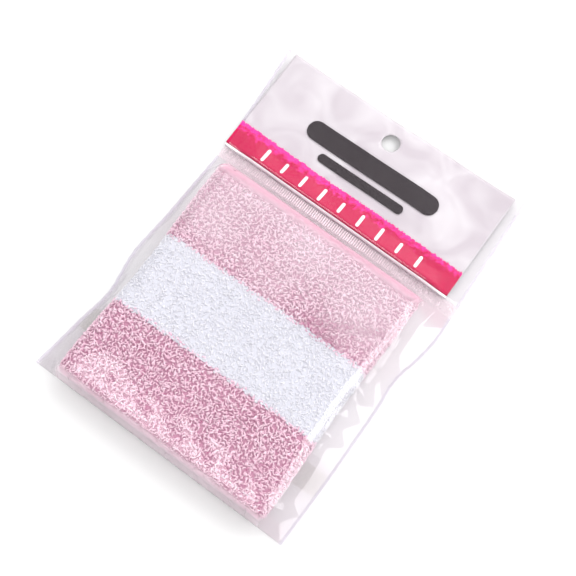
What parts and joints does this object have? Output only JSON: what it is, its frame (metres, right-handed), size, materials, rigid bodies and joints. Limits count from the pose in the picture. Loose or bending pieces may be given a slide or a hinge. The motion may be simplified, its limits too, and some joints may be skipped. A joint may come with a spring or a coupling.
{
  "type": "sweat wristband",
  "caption": "Terry sweat wristband in three stripes, pressed flat in a clear header bag with a crimped seal, a hang hole and a folded closure flap.",
  "frame": {"origin": "on the resting surface, under the centre of the bag lying flat on its back", "axes": "+Y up the bag towards the header and along the band's tube axis, +X to the right seen from the front, +Z out of the front of the bag"},
  "size_m": [0.096, 0.135, 0.0137],
  "materials": {
    "pink_terry": "dusty pink looped cotton terry",
    "white_terry": "white looped cotton terry",
    "elastic": "cotton-covered elastic yarn",
    "sewing_thread": "overlocked pink thread",
    "clear_film": "clear glossy polypropylene film",
    "milky_film": "milky white ink on clear film",
    "adhesive": "clear self-adhesive strip",
    "crimson_ink": "crimson gravure ink under film",
    "charcoal_ink": "charcoal gravure ink under film"
  },
  "bodies": {
    "pouch": {"outer_stripe_lower": "pink_terry", "outer_stripe_middle": "white_terry", "outer_stripe_upper": "pink_terry", "lining_stripe_lower": "pink_terry", "lining_stripe_middle": "white_terry", "lining_stripe_upper": "pink_terry", "end_fold_lower": "pink_terry", "end_fold_upper": "pink_terry", "joining_seam": "sewing_thread", "elastic_yarn": "elastic", "pouch_front_film": "clear_film", "pouch_back_film": "clear_film", "pouch_weld_left": "clear_film", "pouch_weld_right": "clear_film", "crimp_seal": "clear_film"},
    "header": {"header_back_film": "clear_film", "header_panel": "milky_film", "header_front_film": "clear_film", "header_weld_left": "clear_film", "header_weld_right": "clear_film", "print_band": "crimson_ink", "print_title_bar": "charcoal_ink", "print_subtitle_bar": "charcoal_ink"},
    "flap": {"closure_flap": "clear_film", "adhesive_strip": "adhesive"}
  },
  "joints": [
    {"name": "header_fold", "type": "hinge", "parent": "pouch", "child": "header", "pos_m": [0, 0.0267, 0.00148], "axis": [1, 0, 0], "range_deg": [-110, 110]},
    {"name": "flap_fold", "type": "hinge", "parent": "pouch", "child": "flap", "pos_m": [0, -0.0675, 0.00075], "axis": [-1, 0, 0], "range_deg": [0, 175]}
  ]
}
